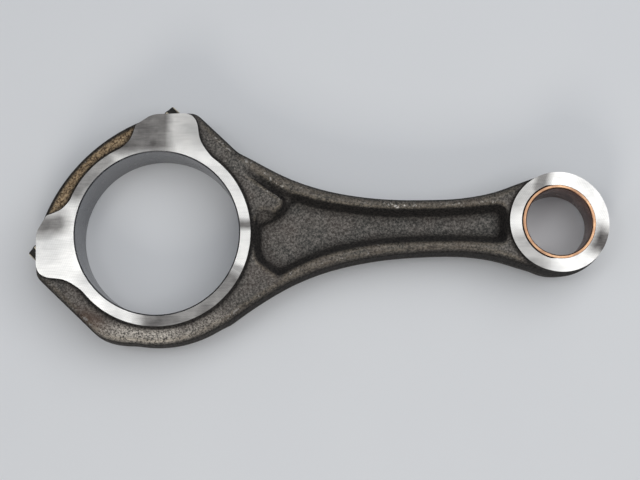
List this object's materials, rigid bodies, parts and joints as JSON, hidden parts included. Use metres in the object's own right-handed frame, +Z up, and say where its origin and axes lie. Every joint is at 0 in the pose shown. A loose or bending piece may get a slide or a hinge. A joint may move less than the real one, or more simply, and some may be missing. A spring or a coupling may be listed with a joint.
{
  "type": "connecting rod",
  "caption": "Forged diesel connecting rod: I-beam shank, obliquely split big end with a bolted cap, and a wedge-shaped small end with a bronze bush.",
  "frame": {"origin": "middle of the base of the part's bounding box, the rod lying on its side", "axes": "+X along the shank from the big end to the small end, +Z up through the thickness, +Y across the shank to the side the cap leans to"},
  "size_m": [0.316, 0.133, 0.032],
  "materials": {
    "forged_steel": "dark shot-peened forging with bright ground thrust faces and bored eyes",
    "bush_bronze": "machined bronze, satin",
    "bolt_steel": "dark phosphated steel"
  },
  "bodies": {
    "rod": {"rod_body": "forged_steel", "piston_pin_bush": "bush_bronze"},
    "cap": {"rod_cap": "forged_steel"},
    "upper_bolt": {"cap_bolt_upper": "bolt_steel"},
    "lower_bolt": {"cap_bolt_lower": "bolt_steel"}
  },
  "joints": [
    {"name": "cap_lift", "type": "slide", "parent": "rod", "child": "cap", "axis": [-0.7071, 0.7071, 0], "range_m": [0, 0.09]},
    {"name": "upper_bolt_draw", "type": "slide", "parent": "cap", "child": "upper_bolt", "axis": [-0.7071, 0.7071, 0], "range_m": [0, 0.06]},
    {"name": "lower_bolt_draw", "type": "slide", "parent": "cap", "child": "lower_bolt", "axis": [-0.7071, 0.7071, 0], "range_m": [0, 0.06]}
  ]
}
